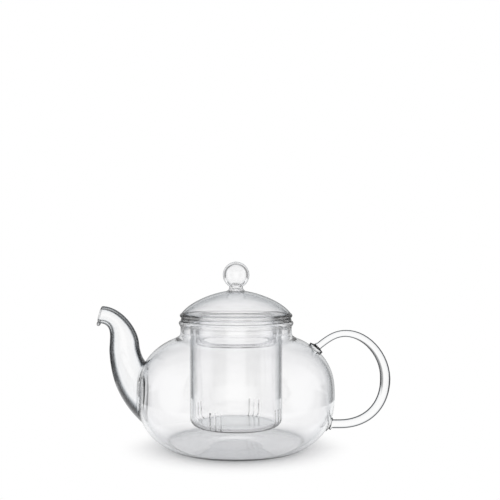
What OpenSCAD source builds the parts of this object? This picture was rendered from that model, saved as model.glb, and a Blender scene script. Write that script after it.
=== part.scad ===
// Blown glass teapot with a lift-out glass infuser and a hollow domed lid.
// The axis of the bowl is Z, the base rests on Z = 0, the spout points to -X
// and the handle to +X. Millimetres.

/* [Bowl] */
// Outer diameter of the belly at its widest
body_d = 157; // [130:1:190]
// Half height of the full curve that the belly is cut from
belly_half_h = 50.8; // [42:0.2:62]
// Squareness of the belly curve, 2 is an ellipse
belly_squareness = 2.5; // [2.2:0.05:3]
// Diameter at which the base cuts that curve
base_d = 106.6; // [88:0.2:118]
// Wall of the bowl
bowl_wall = 2.2; // [1.6:0.1:3]
// Thickness of the base
floor_t = 3; // [2:0.1:5]
// Rounding of the outer edge of the base
base_round = 1.6; // [0.8:0.1:3]
// Diameter of the hollow pushed up into the base, so that the pot stands on a ring
punt_d = 62; // [40:1:76]
// Depth of that hollow
punt_h = 2.4; // [1:0.1:4]

/* [Neck and lip] */
// Outer diameter of the neck
neck_d = 88.8; // [74:0.2:110]
// Height of the neck, from the shoulder to the top of the lip
neck_h = 14.8; // [12:0.2:24]
// Width of the rolled lip, measured across its top
lip_w = 4.2; // [3.8:0.1:5]
// How far the lip stands out beyond the neck
lip_flare = 1.4; // [0.2:0.1:2]
// Height of the rolled lip
lip_h = 3.4; // [2.6:0.1:4.4]
// Wall of the neck below the lip
neck_wall = 2.6; // [2:0.1:3.4]
// Radius of the sweep from the shoulder into the neck
shoulder_sweep = 6; // [3:0.1:8]

/* [Spout] */
// How far the middle of the mouth stands out beyond the belly
spout_reach = 29.7; // [24:0.5:40]
// Height of the middle of the mouth above the lip
mouth_above_lip = 4.8; // [0:0.2:12]
// Outer diameter of the mouth
spout_mouth_d = 14; // [11:0.5:18]
// Lean of the mouth's cut from upright
spout_mouth_lean = 13.6; // [0:0.2:25]
// How far the middle of the root lies below the belly's widest line
root_below_belly = 2.5; // [0:0.5:5]
// Height of the root
spout_root_h = 45; // [36:0.5:47]
// Width of the root across the pot
spout_root_w = 50; // [40:0.5:54]
// Diameter of the hole through the wall of the bowl behind the root
spout_hole_d = 28; // [16:0.5:32]
// Outer width of the riser, halfway up
spout_riser_w = 24.7; // [20:0.5:30]
// Height of the riser's halfway section above the belly's widest line
spout_riser_up = 35.5; // [30:0.5:43]
// How far the riser stands out beyond the belly
spout_riser_out = 10.9; // [8:0.5:14]
// Wall of the spout
spout_wall = 2; // [1.4:0.1:2.6]
// How far the drip edge hangs below the mouth
drip_edge = 3.6; // [0:0.2:5]
// How far the melted collar stands out round the root
collar_out = 3.4; // [1:0.2:5]

/* [Handle] */
// How far the handle reaches beyond the belly
handle_reach = 44.9; // [37:0.5:56]
// How far the top of the loop lies below the lip, at the middle of the rod
handle_top_drop = 10.2; // [0:0.2:14]
// Height of the bottom of the loop, at the middle of the rod
handle_low_z = 17.5; // [14:0.5:24]
// How far the rod's upper end lies below the lip
handle_root_drop = 22.5; // [19:0.5:28]
// Rise of the rod where it leaves the shoulder
handle_rise = 40; // [25:1:55]
// Thickness of the rod at the top of the loop
rod_top_d = 5.5; // [4.5:0.1:8]
// Thickness of the rod where the hand holds it
rod_grip_d = 8.2; // [6:0.1:10]
// Thickness of the rod at its lower end
rod_low_d = 7; // [5:0.1:9]
// Diameter of the melted pads that the rod ends in
pad_d = 12.5; // [11:0.5:16]
// Height of the melted pads
pad_h = 2.4; // [1.6:0.2:4]

/* [Infuser] */
// Gap between the cup and the inside of the lip
cup_clearance = 4.8; // [3:0.1:8]
// Gap between the bottom of the cup and the floor of the bowl
cup_gap = 13; // [5:0.5:40]
// Wall of the cup
cup_wall = 1.8; // [1.2:0.1:2.6]
// Thickness of the bottom of the cup
cup_floor = 2.2; // [1.4:0.1:3]
// Rounding of the outer edge of the bottom
cup_round = 6.5; // [4:0.5:9]
// How far the flange lies out over the lip
flange_seat = 2.6; // [2.2:0.1:3.6]
// Thickness of the flange
flange_t = 2.6; // [2.2:0.1:4]
// Radius of the sweep from the cup into the flange
flange_sweep = 2.4; // [1:0.1:2.8]
// Number of groups of brewing slits
slit_groups = 4; // [2:1:6]
// Slits in a group
slits_per_group = 3; // [1:1:5]
// Width of a slit
slit_w = 1; // [0.6:0.1:1.6]
// Height of a slit above the bottom of the cup
slit_h = 16; // [8:0.5:30]
// Distance between neighbouring slits
slit_pitch = 4.6; // [3:0.1:7]
// Plan angle of the first group
slit_turn = -26; // [-90:1:90]

/* [Lid] */
// How far the edge of the lid stays inside the edge of the lip
lid_inset = 0.8; // [0:0.1:2]
// Rise of the full dome curve above the underside of the rim
dome_h = 21.8; // [16:0.2:30]
// Squareness of the dome curve, below 2 is leaner than an ellipse
dome_squareness = 1.6; // [1.4:0.05:2.2]
// Wall of the lid
lid_wall = 2; // [1.4:0.1:2.6]
// Thickness of the rolled rim
rim_t = 3.2; // [2.4:0.1:4]
// Gap between the skirt and the inside of the cup
skirt_clearance = 2.6; // [1:0.1:5]
// Depth of the skirt below the rim
skirt_h = 22; // [14:0.5:30]
// Rounding of the lower edge of the skirt
skirt_round = 4; // [3:0.2:6]
// Width of the flat edge that the skirt turns in to, past its rounding
skirt_edge_w = 1.2; // [0.2:0.1:4]

/* [Knob] */
// Diameter of the ball
knob_d = 21.2; // [17:0.2:26]
// Height of the pinched neck, from the crown of the dome to the ball
knob_neck_h = 3.8; // [2:0.1:8]
// Diameter of the pinched neck under the ball
knob_neck_d = 10.8; // [9:0.2:13]
// Diameter of the foot that the neck spreads into
knob_foot_d = 16; // [14:0.2:20]
// Wall of the ball
knob_wall = 2; // [1.4:0.1:3]
// Bore between the ball and the dome
knob_bore_d = 6.4; // [4.5:0.1:7]

/* [Hidden] */
$fn = 96;

glass = [0.80, 0.91, 0.94];
glass_thick = [0.62, 0.79, 0.83];

// Radii
body_r = body_d / 2;
neck_r = neck_d / 2;
shoulder_r = neck_r + shoulder_sweep;
lip_r = neck_r + lip_flare;
bore_r = lip_r - lip_w;
neck_in_r = neck_r - neck_wall;
cup_r = bore_r - cup_clearance;
cup_in_r = cup_r - cup_wall;
flange_r = bore_r + flange_seat;
skirt_r = cup_in_r - skirt_clearance;
lid_r = lip_r - lid_inset;
knob_r = knob_d / 2;
knob_foot_r = knob_foot_d / 2;

// Heights above the base
belly_z = super_y(body_r, belly_half_h, belly_squareness, base_d / 2);
shoulder_z = belly_z + super_y(body_r, belly_half_h, belly_squareness, shoulder_r);
// The bowl and the neck meet on a flat ring, where the inside of the belly turns up
neck_foot_z = belly_z + super_y(body_r - bowl_wall, belly_half_h - bowl_wall,
                                belly_squareness, neck_in_r + shoulder_sweep);
lip_z = shoulder_z + neck_h;
seat_z = lip_z + flange_t;
cup_low_z = floor_t + cup_gap;
spout_mouth_z = lip_z + mouth_above_lip;
spout_root_z = belly_z - root_below_belly;
spout_riser_z = belly_z + spout_riser_up;
handle_top_z = lip_z - handle_top_drop;
handle_root_z = lip_z - handle_root_drop;

// Steps along a quarter of a curve of revolution, and along a small rounding
curve_steps = 12;
round_steps = 4;
// Points round a swept section, and sections along each stretch of a sweep
ring_n = 24;
stretch_n = 12;

// ---- Curves ----

// Half width at height h of a superellipse of half sizes a and b
function super_x(a, b, n, h) = a * pow(max(0, 1 - pow(abs(h) / b, n)), 1 / n);
// Height at half width x of the same curve
function super_y(a, b, n, x) = b * pow(max(0, 1 - pow(x / a, n)), 1 / n);
// Points of it between two turns, measured from its widest point
function super_line(a, b, n, from, to, steps) = [
    for (i = [0 : steps])
        let (t = from + (to - from) * i / steps)
        [a * pow(cos(t), 2 / n), sign(t) * b * pow(abs(sin(t)), 2 / n)]
];
// Turn at which that curve passes height h, or half width x
function turn_at_h(b, n, h) = asin(pow(abs(h) / b, n / 2)) * sign(h);
function turn_at_x(a, n, x) = acos(pow(x / a, n / 2));

function arc(c, r, from, to, steps) = [
    for (i = [0 : steps])
        let (t = from + (to - from) * i / steps)
        c + r * [cos(t), sin(t)]
];
function bezier(p, q, r, s, t) =
    pow(1 - t, 3) * p + 3 * pow(1 - t, 2) * t * q + 3 * (1 - t) * t * t * r + t * t * t * s;
function bezier_line(p, q, r, s, steps) = [for (i = [0 : steps]) bezier(p, q, r, s, i / steps)];
function shifted(points, move) = [for (p = points) p + move];
function reversed(points) = [for (i = [len(points) - 1 : -1 : 0]) points[i]];
function mix(a, b, t) = a + (b - a) * t;
function heading(angle) = [cos(angle), sin(angle)];

// ---- Swept tubes in the XZ plane ----

// A section is [middle, direction across, half width in the plane, half width across it].
// Its first point is the one that "direction across" points to.
function section_ring(s, bulge = 0) = [
    for (k = [0 : ring_n - 1])
        let (
            a = 360 * k / ring_n,
            hang = bulge * pow(max(0, -cos(a)), 3),
            p = s[0] + s[1] * ((s[2] + hang) * cos(a)),
            y = s[3] * sin(a)
        )
        [p[0], y, p[1]]
];
function inset(s, wall) = [s[0], s[1], s[2] - wall, s[3] - wall];

module swept(rings) {
    last = len(rings) - 1;
    sides = [
        for (i = [0 : last - 1], k = [0 : ring_n - 1])
            let (
                a = i * ring_n + k,
                b = i * ring_n + (k + 1) % ring_n
            )
            each [[a, a + ring_n, b + ring_n], [a, b + ring_n, b]]
    ];
    first_cap = [for (k = [0 : ring_n - 1]) k];
    last_cap = [for (k = [ring_n - 1 : -1 : 0]) last * ring_n + k];
    polyhedron([for (r = rings) each r], concat(sides, [first_cap, last_cap]), convexity = 6);
}

// ---- Bowl ----

// Outer radius of the bowl at a height, and the way its wall faces there, up from level
function wall_x(z) = super_x(body_r, belly_half_h, belly_squareness, z - belly_z);
function wall_turn(z) =
    let (
        power = belly_squareness - 1,
        rise = pow(abs(z - belly_z) / belly_half_h, power) / belly_half_h,
        run = pow(wall_x(z) / body_r, power) / body_r
    )
    atan2(rise * sign(z - belly_z), run);

// Belly curve of half sizes a and b between two heights
function belly_line(a, b, from_z, to_z, steps) =
    shifted(super_line(a, b, belly_squareness,
                       turn_at_h(b, belly_squareness, from_z - belly_z),
                       turn_at_h(b, belly_squareness, to_z - belly_z), steps), [0, belly_z]);

// Sweep from the top of a belly curve up into a neck of a radius, without its first point
function sweep_into(belly, to_r) =
    let (
        top = belly[len(belly) - 1],
        lean = top - belly[len(belly) - 2],
        neck = [to_r, top[1] + shoulder_sweep],
        pull = shoulder_sweep * 0.6,
        sweep = bezier_line(top, top + lean / norm(lean) * pull, neck - [0, pull], neck,
                            round_steps)
    )
    [for (i = [1 : round_steps]) sweep[i]];

// Pushed-up middle of the base, from the axis out to the ring that the pot stands on
function punt_line(z) =
    bezier_line([0, z + punt_h], [punt_d / 6, z + punt_h], [punt_d / 3, z], [punt_d / 2, z], 8);

// Outer line of the bowl from the middle of the base to the foot of the neck
function bowl_outer_line() =
    let (
        inner_end = [wall_x(0) - base_round, 0],
        outer_end = [wall_x(base_round), base_round],
        pull = base_round * 0.55,
        edge = bezier_line(inner_end, inner_end + [pull, 0],
                           outer_end + heading(wall_turn(base_round) - 90) * pull, outer_end,
                           round_steps)
    )
    concat(punt_line(0), [for (i = [0 : round_steps - 1]) edge[i]],
           belly_line(body_r, belly_half_h, base_round, neck_foot_z, 2 * curve_steps));

// Inside of the belly, from the floor up to the foot of the neck
belly_inner_line = belly_line(body_r - bowl_wall, belly_half_h - bowl_wall, floor_t,
                              neck_foot_z, 2 * curve_steps);

// Outer line of the neck from its foot over the shoulder to the foot of the lip
function neck_outer_line() =
    let (shoulder = belly_line(body_r, belly_half_h, neck_foot_z, shoulder_z, 3))
    concat(shoulder, sweep_into(shoulder, neck_r));

// Rolled lip, from the outside of the neck over the top to its inside
function lip_line() =
    let (
        out_round = lip_h / 2,
        in_round = lip_h / 3
    )
    concat(
        [[neck_r, lip_z - lip_h - lip_flare]],
        arc([lip_r - out_round, lip_z - out_round], out_round, -20, 90, 6),
        arc([bore_r + in_round, lip_z - in_round], in_round, 90, 180, 5),
        [[bore_r, lip_z - lip_h], [neck_in_r, lip_z - lip_h - 2 * lip_flare]]
    );

// The bowl as a solid stopper, which cuts whatever is melted onto its outside
module bowl_outside() {
    neck = neck_outer_line();
    top = [0, neck[len(neck) - 1][1]];
    rotate_extrude() polygon(concat(bowl_outer_line(), neck, [top]));
}

module pot_bowl() {
    color(glass)
    difference() {
        rotate_extrude()
            polygon(concat(bowl_outer_line(),
                           reversed(concat(punt_line(floor_t), belly_inner_line))));
        translate([-body_r, 0, belly_z])
            rotate([0, 90, 0])
                cylinder(h = 2 * root_depth, d = spout_hole_d, center = true);
    }
}

// Neck with its rolled lip, drawn up from the shoulder in one with the bowl
module pot_neck() {
    inner_foot = belly_inner_line[len(belly_inner_line) - 1];
    color(glass)
    rotate_extrude()
        polygon(concat(neck_outer_line(), lip_line(),
                       reversed(sweep_into(belly_inner_line, neck_in_r)), [inner_foot]));
}

// ---- Spout ----

// The spout is lofted through three cuts: its root inside the wall of the bowl, the riser
// halfway up and the mouth. Each is [middle, lean of the cut from upright, width in the plane,
// half width across, way the glass runs], with the middle given outward from the axis.
root_depth = 10.5;
root_way = 27;
riser_lean = 73.5;
riser_way = 86;
mouth_way = 2;
spout_cuts = [
    [[body_r - root_depth, spout_root_z], 0, spout_root_h, spout_root_w / 2, root_way],
    [[body_r + spout_riser_out, spout_riser_z], riser_lean, spout_riser_w,
     spout_riser_w / 2, riser_way],
    [[body_r + spout_reach, spout_mouth_z], spout_mouth_lean, spout_mouth_d,
     spout_mouth_d / 2, mouth_way]
];
// How far the under line and the back line of each stretch run on before they turn:
// [[under, at its start and end], [back, at its start and end]]
spout_pulls = [
    [[18, 32.5], [6.5, 6.6]],
    [[11, 13.3], [13.2, 14.5]]
];
// Sections before the mouth over which the drip edge grows
drip_run = 2.5;
// Sections that the collar spreads over, and the least that it stands out
collar_run = 5;
collar_edge = 0.4;

// From the middle of a cut towards the back line of the spout
function cut_across(cut) = heading(90 + cut[1]);
function cut_end(cut, side) = cut[0] + cut_across(cut) * side * cut[2] / 2;
// Under line (side -1) or back line (side 1) between two cuts
function spout_line(from, to, side, pull, t) =
    let (
        p = cut_end(from, side),
        s = cut_end(to, side)
    )
    bezier(p, p + heading(from[4]) * pull[0], s - heading(to[4]) * pull[1], s, t);

function spout_section(stretch, t) =
    let (
        from = spout_cuts[stretch],
        to = spout_cuts[stretch + 1],
        under = spout_line(from, to, -1, spout_pulls[stretch][0], t),
        back = spout_line(from, to, 1, spout_pulls[stretch][1], t),
        across = back - under,
        middle = (back + under) / 2,
        n = across / norm(across)
    )
    [[-middle[0], middle[1]], [-n[0], n[1]], norm(across) / 2, mix(from[3], to[3], t)];

spout_sections = [
    for (stretch = [0 : 1], i = [(stretch == 0 ? 0 : 1) : stretch_n])
        spout_section(stretch, i / stretch_n)
];
last_section = len(spout_sections) - 1;

module spout_outside() {
    swept([
        for (i = [0 : last_section])
            let (near_mouth = max(0, 1 - (last_section - i) / drip_run))
            section_ring(spout_sections[i], drip_edge * near_mouth)
    ]);
}

module spout_bore() {
    mouth = spout_sections[last_section];
    past_mouth = mouth[0] + [-cos(mouth_way), sin(mouth_way)] * spout_wall;
    beyond = [past_mouth, mouth[1], mouth[2], mouth[3]];
    swept([for (s = concat(spout_sections, [beyond])) section_ring(inset(s, spout_wall))]);
}

module pot_spout() {
    color(glass)
    difference() {
        spout_outside();
        spout_bore();
        bowl_outside();
    }
}

// Collar of thick glass where the spout is melted onto the bowl
module spout_weld() {
    color(glass_thick)
    difference() {
        swept([
            for (i = [0 : collar_run])
                let (spread = collar_out * (1 - i / collar_run) + collar_edge)
                section_ring(inset(spout_sections[i], -spread))
        ]);
        spout_outside();
        bowl_outside();
    }
}

// ---- Handle ----

handle_x = body_r + handle_reach - rod_grip_d / 2;
loop_r = (handle_top_z - handle_low_z) / 2;
loop_x = handle_x - loop_r;
loop_z = (handle_top_z + handle_low_z) / 2;
// A pull of 0.5523 of the radius turns a quarter circle, and a longer one a squarer bend
round_pull = loop_r * 0.5523;
square_pull = loop_r * 0.6;
// How far the rod turns over outside the middle of the loop
top_shift = 4.7;
// The rod's ends lie in the wall of the bowl, and run this far inside it
root_sink = 3;
shoulder_end = [wall_x(handle_root_z), handle_root_z];
heel_end = [wall_x(handle_low_z), handle_low_z];
// Stations of the rod: [place, way it runs, pull before, pull after, thickness]
handle_stations = [
    [shoulder_end - heading(handle_rise) * root_sink, handle_rise, 0, 13, rod_top_d],
    [[loop_x + top_shift, handle_top_z], 0, 10, round_pull - top_shift, rod_top_d],
    [[handle_x, loop_z], -90, round_pull, square_pull, rod_grip_d],
    [[loop_x, handle_low_z], -180, square_pull, root_sink, rod_low_d],
    [heel_end - [root_sink, 0], -180, root_sink, 0, rod_low_d]
];
// Sections along each stretch between two stations
handle_steps = [stretch_n, stretch_n, stretch_n, 3];

function rod_point(from, to, t) =
    bezier(from[0], from[0] + heading(from[1]) * from[3],
           to[0] - heading(to[1]) * to[2], to[0], t);
function rod_section(from, to, t) =
    let (
        step = 0.01,
        ahead = rod_point(from, to, min(1, t + step)),
        behind = rod_point(from, to, max(0, t - step)),
        way = (ahead - behind) / norm(ahead - behind),
        half = mix(from[4], to[4], t) / 2
    )
    [rod_point(from, to, t), [-way[1], way[0]], half, half];

handle_sections = [
    for (j = [0 : len(handle_steps) - 1], i = [(j == 0 ? 0 : 1) : handle_steps[j]])
        rod_section(handle_stations[j], handle_stations[j + 1], i / handle_steps[j])
];

module rod() {
    swept([for (s = handle_sections) reversed(section_ring(s))]);
}

module pot_handle() {
    color(glass)
    difference() {
        rod();
        bowl_outside();
    }
}

// Melted pad round one end of the rod, square to the wall of the bowl
module melted_pad(place) {
    spread = pad_d / 2;
    sink = 4;
    edge = pad_h * 0.9;
    color(glass_thick)
    difference() {
        translate([place[0], 0, place[1]])
            rotate([0, 90 - wall_turn(place[1]), 0])
                rotate_extrude()
                    polygon(concat([[0, -sink], [spread, -sink]],
                                   arc([spread - edge, pad_h - edge], edge, 0, 90, 5),
                                   [[0, pad_h]]));
        rod();
        bowl_outside();
    }
}

module handle_upper_weld() {
    melted_pad(shoulder_end);
}

module handle_lower_weld() {
    melted_pad(heel_end);
}

// ---- Infuser ----

// Groups of sawn slits, which run down the side and round the bottom corner of the cup
module slits() {
    step = slit_pitch / cup_r * 180 / PI;
    middle = (slits_per_group - 1) / 2;
    wrap = cup_round * 0.75;
    beyond = 1;
    for (g = [0 : slit_groups - 1], s = [0 : slits_per_group - 1])
        rotate([0, 0, slit_turn + 360 * g / slit_groups + (s - middle) * step])
            translate([cup_r - wrap, -slit_w / 2, cup_low_z - beyond])
                cube([wrap + beyond, slit_w, slit_h + beyond]);
}

module infuser_cup() {
    in_round = cup_round - cup_wall;
    outer = concat([[0, cup_low_z]],
                   arc([cup_r - cup_round, cup_low_z + cup_round], cup_round, -90, 0, 6),
                   arc([cup_r + flange_sweep, lip_z - flange_sweep], flange_sweep, 180, 90, 4));
    inner = concat([[cup_in_r, lip_z]],
                   arc([cup_in_r - in_round, cup_low_z + cup_floor + in_round],
                       in_round, 0, -90, 6),
                   [[0, cup_low_z + cup_floor]]);
    color(glass)
    difference() {
        rotate_extrude() polygon(concat(outer, inner));
        slits();
    }
}

module infuser_flange() {
    low_edge = 0.8;
    top_edge = flange_t / 2;
    color(glass_thick)
    rotate_extrude()
        polygon(concat(arc([flange_r - low_edge, lip_z + low_edge], low_edge, -90, 0, 4),
                       arc([flange_r - top_edge, seat_z - top_edge], top_edge, 0, 90, 5),
                       arc([cup_in_r + top_edge, seat_z - top_edge], top_edge, 90, 180, 5),
                       [[cup_in_r, lip_z]]));
}

// ---- Lid ----

// Height of the flat crown under the knob, above the underside of the rim
crown_h = super_y(lid_r, dome_h, dome_squareness, knob_foot_r);

module lid_dome() {
    roll = rim_t / 2;
    join = turn_at_h(dome_h, dome_squareness, rim_t * 1.1);
    outer = super_line(lid_r, dome_h, dome_squareness, join,
                       turn_at_x(lid_r, dome_squareness, knob_foot_r), curve_steps);
    in_a = lid_r - rim_t + lid_wall / 3;
    in_b = dome_h - lid_wall;
    inner = super_line(in_a, in_b, dome_squareness, turn_at_h(in_b, dome_squareness, lid_wall),
                       turn_at_x(in_a, dome_squareness, knob_bore_d / 2), curve_steps);
    color(glass)
    translate([0, 0, seat_z])
    rotate_extrude()
        polygon(concat([[skirt_r - lid_wall, 0]],
                       arc([lid_r - roll, roll], roll, -90, 40, 7),
                       outer, [[knob_bore_d / 2, crown_h]],
                       reversed(inner), [[skirt_r - lid_wall, lid_wall]]));
}

module lid_skirt() {
    corner = [skirt_r - skirt_round, skirt_round - skirt_h];
    edge = lid_wall / 2;
    color(glass)
    translate([0, 0, seat_z])
    rotate_extrude()
        polygon(concat([[skirt_r, 0], [skirt_r - lid_wall, 0]],
                       arc(corner, skirt_round - lid_wall, 0, -90, round_steps),
                       arc([corner[0] - skirt_edge_w, edge - skirt_h], edge, 90, 270, 5),
                       arc(corner, skirt_round, -90, 0, 6)));
}

// Blown ball on a pinched neck that spreads into the crown of the dome
module lid_knob() {
    in_r = knob_r - knob_wall;
    pinch_r = knob_neck_d / 2;
    bore_r = knob_bore_d / 2;
    pinch_turn = acos(pinch_r / knob_r);
    pinch_h = crown_h + knob_neck_h;
    ball = [0, pinch_h + knob_r * sin(pinch_turn)];
    spread = 0.4;
    color(glass_thick)
    translate([0, 0, seat_z])
    rotate_extrude()
        polygon(concat(bezier_line([knob_foot_r, crown_h],
                                   [mix(pinch_r, knob_foot_r, spread), crown_h + spread],
                                   [pinch_r, mix(crown_h, pinch_h, spread)],
                                   [pinch_r, pinch_h], round_steps),
                       arc(ball, knob_r, -pinch_turn, 90, 16),
                       arc(ball, in_r, 90, -acos(bore_r / in_r), 14),
                       [[bore_r, crown_h]]));
}

pot_bowl();
pot_neck();
pot_spout();
spout_weld();
pot_handle();
handle_upper_weld();
handle_lower_weld();
infuser_cup();
infuser_flange();
lid_dome();
lid_skirt();
lid_knob();
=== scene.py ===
"""A clear glass teapot with a lift-out infuser and a domed lid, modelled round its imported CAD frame."""

from math import acos, asin, atan2, cos, pi, radians, sin, tau

import bpy
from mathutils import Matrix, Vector


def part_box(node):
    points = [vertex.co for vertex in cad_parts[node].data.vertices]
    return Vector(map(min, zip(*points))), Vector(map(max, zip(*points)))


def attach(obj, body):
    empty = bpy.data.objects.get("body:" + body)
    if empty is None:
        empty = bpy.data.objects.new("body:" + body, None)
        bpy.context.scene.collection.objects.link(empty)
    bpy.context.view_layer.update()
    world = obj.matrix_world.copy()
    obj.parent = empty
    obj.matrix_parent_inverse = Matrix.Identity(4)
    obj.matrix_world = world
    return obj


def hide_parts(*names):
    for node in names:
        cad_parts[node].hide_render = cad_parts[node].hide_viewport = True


bl_info = {
    "name": "Glass teapot",
    "version": (1, 0, 0),
    "blender": (4, 5, 0),
    "location": "View3D > Sidebar > Teapot",
    "description": "Builds a blown glass teapot, its infuser and its lid, and a white studio round them",
    "category": "Add Mesh",
}

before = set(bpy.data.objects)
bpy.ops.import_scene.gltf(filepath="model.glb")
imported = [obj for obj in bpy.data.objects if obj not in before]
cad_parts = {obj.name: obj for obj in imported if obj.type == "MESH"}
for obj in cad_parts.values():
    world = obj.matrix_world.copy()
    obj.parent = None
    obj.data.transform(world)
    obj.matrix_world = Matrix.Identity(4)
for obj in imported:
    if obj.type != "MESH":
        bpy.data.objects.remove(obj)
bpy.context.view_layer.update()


def mm(value):
    """A size in millimetres, as metres."""
    return value / 1000


def lowest(node, axis):
    """Where a CAD node begins along X, Y or Z."""
    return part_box(node)[0][axis]


def highest(node, axis):
    """Where a CAD node ends along X, Y or Z."""
    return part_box(node)[1][axis]


X, Y, Z = 0, 1, 2
# Air between two surfaces that rest on each other, so that light leaves one before it enters
# the next
SEAT_AIR = mm(0.1)


# ---- Sizes and looks that a user would change ----

def length(name, description, default):
    return bpy.props.FloatProperty(name=name, description=description, default=default,
                                   unit="LENGTH", precision=5)


def angle(name, description, default):
    return bpy.props.FloatProperty(name=name, description=description,
                                   default=radians(default), subtype="ANGLE")


def number(name, description, default):
    return bpy.props.FloatProperty(name=name, description=description, default=default,
                                   precision=4)


def count(name, description, default):
    return bpy.props.IntProperty(name=name, description=description, default=default, min=1)


def linear(hex_colour):
    """An sRGB hex colour, as the linear colour that a node takes."""
    parts = [int(hex_colour[i:i + 2], 16) / 255 for i in (0, 2, 4)]
    return [c / 12.92 if c <= 0.04045 else ((c + 0.055) / 1.055) ** 2.4 for c in parts] + [1]


def colour(name, description, hex_colour):
    return bpy.props.FloatVectorProperty(name=name, description=description, size=4,
                                         default=linear(hex_colour), min=0, max=1,
                                         subtype="COLOR")


class BowlSizes(bpy.types.PropertyGroup):
    """Sizes of the bowl, its neck and its lip"""
    body_r: length("Belly radius", "Outer radius of the belly", highest("pot_bowl", Y))
    lip_z: length("Top of the lip", "Height of the top of the lip", highest("pot_neck", Z))
    belly_half_h: length("Belly half height", "Half height of the belly curve", mm(50.8))
    squareness: number("Squareness", "Squareness of the belly curve, 2 is an ellipse", 2.5)
    base_r: length("Base cut", "Radius at which the base cuts the belly curve", mm(53.3))
    wall: length("Wall", "Thickness of the wall", mm(2.2))
    floor_t: length("Floor", "Thickness of the floor", mm(3))
    base_round: length("Base rounding", "Rounding of the edge of the base", mm(1.6))
    punt_r: length("Punt radius", "Radius of the pushed-up middle of the base", mm(31))
    punt_h: length("Punt height", "Rise of the pushed-up middle of the base", mm(2.4))
    neck_r: length("Neck radius", "Outer radius of the neck", mm(44.4))
    neck_wall: length("Neck wall", "Thickness of the neck", mm(2.6))
    lip_w: length("Lip width", "Width of the rolled lip", mm(4.2))
    lip_flare: length("Lip flare", "How far the lip stands out beyond the neck", mm(1.4))
    lip_h: length("Lip height", "Height of the rolled lip", mm(3.4))
    sweep: length("Shoulder sweep", "Radius from the shoulder into the neck", mm(6))


class SpoutSizes(bpy.types.PropertyGroup):
    """Sizes of the spout"""
    reach: length("Reach", "Middle of the mouth beyond the belly", mm(29.7))
    mouth_up: length("Mouth height", "Middle of the mouth above the lip", mm(4.8))
    mouth_d: length("Mouth diameter", "Outer diameter of the mouth", mm(14))
    mouth_lean: angle("Mouth lean", "Lean of the mouth's cut from upright", 13.6)
    root_below: length("Root height", "Middle of the root below the belly line", mm(2.5))
    root_h: length("Root tallness", "Height of the root", mm(45))
    root_w: length("Root width", "Width of the root across the pot", mm(50))
    root_depth: length("Root depth", "Root's cut inside the belly", mm(10.5))
    hole_d: length("Hole diameter", "Hole in the bowl behind the root", mm(28))
    riser_w: length("Riser width", "Width of the riser, halfway up", mm(24.7))
    riser_up: length("Riser height", "Halfway cut above the belly line", mm(35.5))
    riser_out: length("Riser reach", "Halfway cut beyond the belly", mm(10.9))
    wall: length("Wall", "Thickness of the wall", mm(2))
    weld_out: length("Weld", "How far the melted collar stands out", mm(3.4))
    bead_r: length("Drip bead", "Half thickness of the bead under the lower lip", mm(1.5))
    bead_w: length("Drip bead width", "Width of the bead across the mouth", mm(9))
    bead_drop: length("Drip bead drop", "Middle of the bead below the lower lip", mm(0.4))


class HandleSizes(bpy.types.PropertyGroup):
    """Sizes of the handle"""
    out_x: length("Reach", "Outermost line of the loop", highest("pot_handle", X))
    top_drop: length("Top", "Middle of the rod's top below the lip", mm(10.2))
    low_z: length("Bottom", "Height of the middle of the rod's bottom", mm(17.5))
    root_drop: length("Upper end", "Rod's upper end below the lip", mm(22.5))
    rise: angle("Rise", "Rise of the rod where it leaves the shoulder", 40)
    top_d: length("Top thickness", "Rod at the top of the loop", mm(5.5))
    grip_d: length("Grip thickness", "Rod where the hand holds it", mm(8.2))
    low_d: length("Lower thickness", "Rod at its lower end", mm(7))
    pad_d: length("Foot diameter", "Melted feet that the rod ends in", mm(12.5))
    pad_h: length("Foot thickness", "Thickness of the melted feet at their edge", mm(1.6))
    pad_throat: length("Foot throat", "Height over which a foot draws in to the rod", mm(2.6))


class InfuserSizes(bpy.types.PropertyGroup):
    """Sizes of the infuser"""
    cup_r: length("Cup radius", "Outer radius of the cup", mm(36.8))
    low_z: length("Cup bottom", "Height of the bottom of the cup", lowest("infuser_cup", Z))
    wall: length("Wall", "Thickness of the wall", mm(1.8))
    floor_t: length("Bottom", "Thickness of the bottom", mm(2.2))
    rounding: length("Rounding", "Rounding of the edge of the bottom", mm(6.5))
    flange_r: length("Flange radius", "Radius of the flange", highest("infuser_flange", X))
    seat_z: length("Flange top", "Height of the flange's top", highest("infuser_flange", Z))
    flange_t: length("Flange thickness", "Thickness of the flange", mm(2.6))
    sweep: length("Flange sweep", "Radius from the cup into the flange", mm(2.4))
    slit_w: length("Slit width", "Width of a slit", mm(1))
    slit_h: length("Slit height", "Height of a slit", mm(16))
    slit_pitch: length("Slit distance", "From one slit to the next", mm(4.6))
    slit_turn: angle("Slit turn", "Plan angle of the first group of slits", -26)
    slit_groups: count("Slit groups", "Groups of slits", 4)
    slits: count("Slits", "Slits in a group", 3)


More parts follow.
